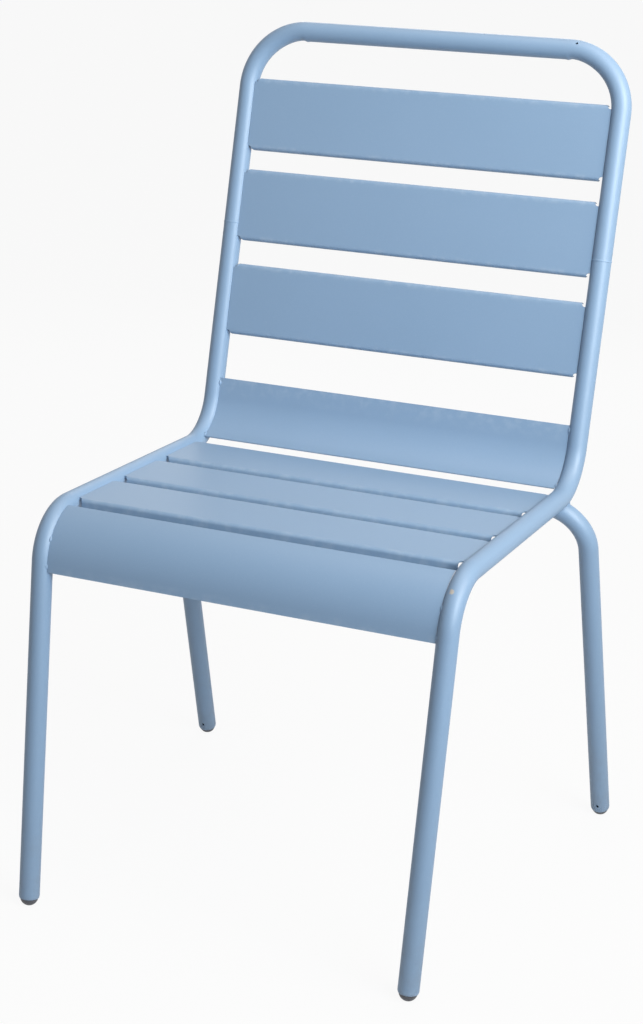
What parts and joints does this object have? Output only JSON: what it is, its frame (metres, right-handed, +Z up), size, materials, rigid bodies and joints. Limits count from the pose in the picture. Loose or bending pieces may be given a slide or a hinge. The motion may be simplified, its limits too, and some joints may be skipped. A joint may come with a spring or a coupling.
{
  "type": "stacking chair",
  "caption": "Slatted steel stacking chair: bent round tube frame, flat back and seat slats, curved lumbar and waterfall front slats, splayed legs on small plastic feet.",
  "frame": {"origin": "on the floor, under the middle of the chair's overall footprint", "axes": "+Z up; -Y is the front, the way a person seated on the chair faces; +X is to the right as seen from the front"},
  "size_m": [0.5455, 0.5418, 0.897],
  "materials": {
    "blue_powder_coat": "satin",
    "blue_powder_coat_sheet": "satin",
    "coated_weld": "satin",
    "bare_steel": "drawn",
    "dark_grey_plastic": "matte"
  },
  "bodies": {
    "root": {"back_hoop": "blue_powder_coat", "back_slat_lower": "blue_powder_coat_sheet", "back_slat_lower_welds": "coated_weld", "back_slat_middle": "blue_powder_coat_sheet", "back_slat_middle_welds": "coated_weld", "back_slat_top": "blue_powder_coat_sheet", "back_slat_top_welds": "coated_weld", "foot_front_left": "dark_grey_plastic", "foot_front_right": "dark_grey_plastic", "foot_rear_left": "dark_grey_plastic", "foot_rear_right": "dark_grey_plastic", "front_slat": "blue_powder_coat_sheet", "front_slat_welds": "coated_weld", "hoop_weld_left": "coated_weld", "hoop_weld_right": "coated_weld", "joint_sleeve_left": "bare_steel", "joint_sleeve_right": "bare_steel", "lumbar_slat": "blue_powder_coat_sheet", "lumbar_slat_welds": "coated_weld", "rear_leg_left": "blue_powder_coat", "rear_leg_right": "blue_powder_coat", "rear_leg_weld_left": "coated_weld", "rear_leg_weld_right": "coated_weld", "seat_slat_front": "blue_powder_coat_sheet", "seat_slat_front_welds": "coated_weld", "seat_slat_middle": "blue_powder_coat_sheet", "seat_slat_middle_welds": "coated_weld", "seat_slat_rear": "blue_powder_coat_sheet", "seat_slat_rear_welds": "coated_weld", "side_frame_left": "blue_powder_coat", "side_frame_right": "blue_powder_coat"}
  },
  "joints": []
}
